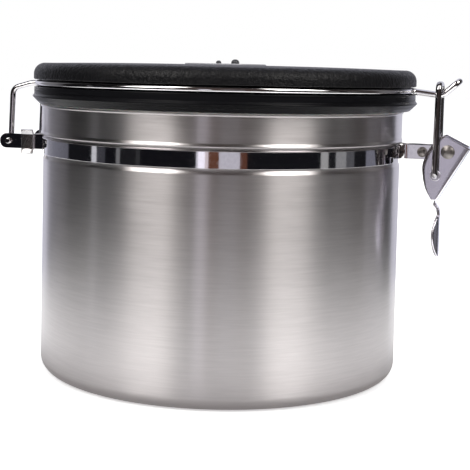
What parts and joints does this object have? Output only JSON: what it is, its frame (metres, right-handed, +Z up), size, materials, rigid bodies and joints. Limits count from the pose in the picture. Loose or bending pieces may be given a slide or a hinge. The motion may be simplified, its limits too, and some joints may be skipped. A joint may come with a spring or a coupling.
{
  "type": "latched food canister",
  "caption": "Round steel food canister with a flat hinged plastic lid, a wire hinge and hook, a folded lever latch with a wire bail, date dials and a one-way gas valve.",
  "frame": {"origin": "centre of the pot's flat base, on the surface it stands on", "axes": "+Z up along the pot's axis, +X towards the latch, -X towards the hinge, Y along the hinge's pin"},
  "size_m": [0.1657, 0.1344, 0.1085],
  "materials": {
    "pot_steel": "fine horizontal brush marks, satin",
    "band_steel": "polished stainless strip",
    "keeper_steel": "polished stainless pressing",
    "wire_steel": "polished round wire",
    "rivet_steel": "polished domed heads",
    "lever_steel": "satin pressing",
    "eyelet_steel": "polished",
    "lid_black": "fine texture, satin",
    "gasket_grey": "soft silicone",
    "screw_steel": "plain",
    "dial_grey": "satin",
    "dial_light": "satin",
    "hub_grey": "satin",
    "valve_black": "satin",
    "seal_clear": "soft silicone",
    "filter_felt": "felt"
  },
  "bodies": {
    "canister": {"pot": "pot_steel", "band_near": "band_steel", "band_far": "band_steel", "hinge_keeper": "keeper_steel", "band_rivet": "rivet_steel", "lever_rivet": "rivet_steel", "tab_spacers": "rivet_steel"},
    "lid": {"lid_cap": "lid_black", "lid_base": "lid_black", "lid_gasket": "gasket_grey", "lid_screws": "screw_steel", "lid_wire": "wire_steel", "dial_hub": "hub_grey", "valve_housing": "valve_black", "valve_nut": "valve_black", "valve_seal": "seal_clear", "valve_cap": "valve_black", "valve_filter": "filter_felt", "valve_grille": "valve_black"},
    "lever": {"latch_lever": "lever_steel", "bail_eyelets": "eyelet_steel"},
    "bail": {"latch_bail": "wire_steel"},
    "day_dial": {"day_dial": "dial_grey"},
    "month_dial": {"month_dial": "dial_light"},
    "valve_disc": {"valve_disc": "seal_clear"}
  },
  "joints": [
    {"name": "lid_hinge", "type": "hinge", "parent": "canister", "child": "lid", "pos_m": [-0.0755, 0, 0.07765], "axis": [0, -1, 0], "range_deg": [0, 195]},
    {"name": "lever_swing", "type": "hinge", "parent": "canister", "child": "lever", "pos_m": [0.0795, 0, 0.0792], "axis": [0, -1, 0], "range_deg": [0, 120]},
    {"name": "bail_swing", "type": "hinge", "parent": "lever", "child": "bail", "pos_m": [0.0756, 0, 0.0712], "axis": [0, -1, 0], "range_deg": [-90, 0]},
    {"name": "day_dial_turn", "type": "hinge", "parent": "lid", "child": "day_dial", "pos_m": [0.0008, 0, 0.1069], "axis": [0, 0, 1], "continuous": true},
    {"name": "month_dial_turn", "type": "hinge", "parent": "lid", "child": "month_dial", "pos_m": [0.0008, 0, 0.1069], "axis": [0, 0, 1], "continuous": true},
    {"name": "valve_lift", "type": "slide", "parent": "lid", "child": "valve_disc", "axis": [0, 0, 1], "range_m": [0, 0.0006], "stiffness_N_per_m": 20}
  ],
  "couplings": [
    {"joint": "bail_swing", "follows": "lever_swing", "ratio": -0.72}
  ]
}
